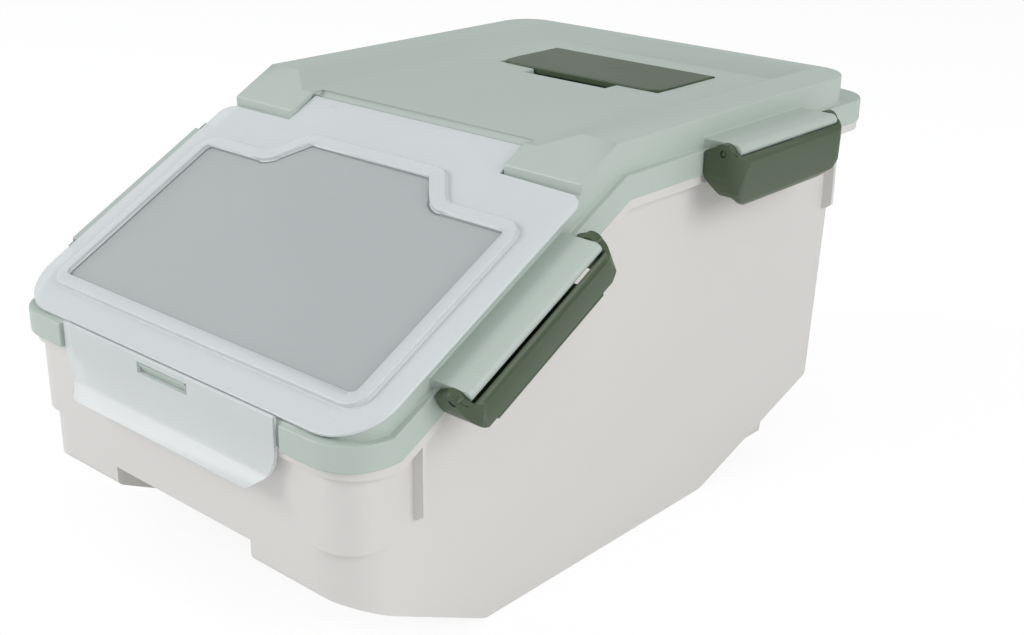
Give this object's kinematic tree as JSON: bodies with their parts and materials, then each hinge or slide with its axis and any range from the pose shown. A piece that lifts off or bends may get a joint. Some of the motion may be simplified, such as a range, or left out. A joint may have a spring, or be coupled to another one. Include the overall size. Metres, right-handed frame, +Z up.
{
  "type": "rice bin with flip lid",
  "caption": "Sloped-front rice storage bin with a latched cover, a hinged see-through pour lid with a lock flap, swing latches, a fold-down carry handle and a measuring cup.",
  "frame": {"origin": "middle of the flat base, on the plane the bin rests on", "axes": "+Z up, +X to the right seen from the front, +Y from the pouring front to the rear"},
  "size_m": [0.2954, 0.4114, 0.2136],
  "materials": {
    "body_shell": "satin polypropylene, warm off-white",
    "cover_green": "satin polypropylene, light sage green",
    "frosted": "frosted translucent polypropylene",
    "dark_green": "glossy dark green plastic",
    "seal": "soft pale silicone"
  },
  "bodies": {
    "bin": {"bin_body": "body_shell", "cover": "cover_green", "cover_seal": "seal", "lid_hinge_pins": "cover_green", "handle_pins": "dark_green", "front_right_latch_pins": "dark_green", "front_left_latch_pins": "dark_green", "rear_right_latch_pins": "dark_green", "rear_left_latch_pins": "dark_green"},
    "lid": {"flip_lid": "frosted", "lid_seal": "seal"},
    "flap": {"lock_flap": "frosted"},
    "latch_front_right": {"front_right_latch": "dark_green"},
    "latch_front_left": {"front_left_latch": "dark_green"},
    "latch_rear_right": {"rear_right_latch": "dark_green"},
    "latch_rear_left": {"rear_left_latch": "dark_green"},
    "handle": {"carry_handle": "dark_green"},
    "cup": {"measuring_cup": "frosted"}
  },
  "joints": [
    {"name": "lid_hinge", "type": "hinge", "parent": "bin", "child": "lid", "pos_m": [0, -0.0135, 0.20171], "axis": [-1, 0, 0], "range_deg": [0, 105]},
    {"name": "flap_hinge", "type": "hinge", "parent": "lid", "child": "flap", "pos_m": [0, -0.173, 0.12029], "axis": [-1, 0, 0], "range_deg": [0, 90]},
    {"name": "front_right_latch_hinge", "type": "hinge", "parent": "bin", "child": "latch_front_right", "pos_m": [0.1364, -0.08249, 0.15483], "axis": [0, -0.8829, -0.4695], "range_deg": [0, 120]},
    {"name": "front_left_latch_hinge", "type": "hinge", "parent": "bin", "child": "latch_front_left", "pos_m": [-0.1364, -0.08249, 0.15483], "axis": [0, 0.8829, 0.4695], "range_deg": [0, 120]},
    {"name": "rear_right_latch_hinge", "type": "hinge", "parent": "bin", "child": "latch_rear_right", "pos_m": [0.1364, 0.1095, 0.19856], "axis": [0, -1, 0], "range_deg": [0, 120]},
    {"name": "rear_left_latch_hinge", "type": "hinge", "parent": "bin", "child": "latch_rear_left", "pos_m": [-0.1364, 0.1095, 0.19856], "axis": [0, 1, 0], "range_deg": [0, 120]},
    {"name": "handle_hinge", "type": "hinge", "parent": "bin", "child": "handle", "pos_m": [0, 0.166, 0.20616], "axis": [-1, 0, 0], "range_deg": [0, 90]},
    {"name": "cup_lift", "type": "slide", "parent": "bin", "child": "cup", "axis": [0, 0, 1], "range_m": [0, 0.06]}
  ]
}
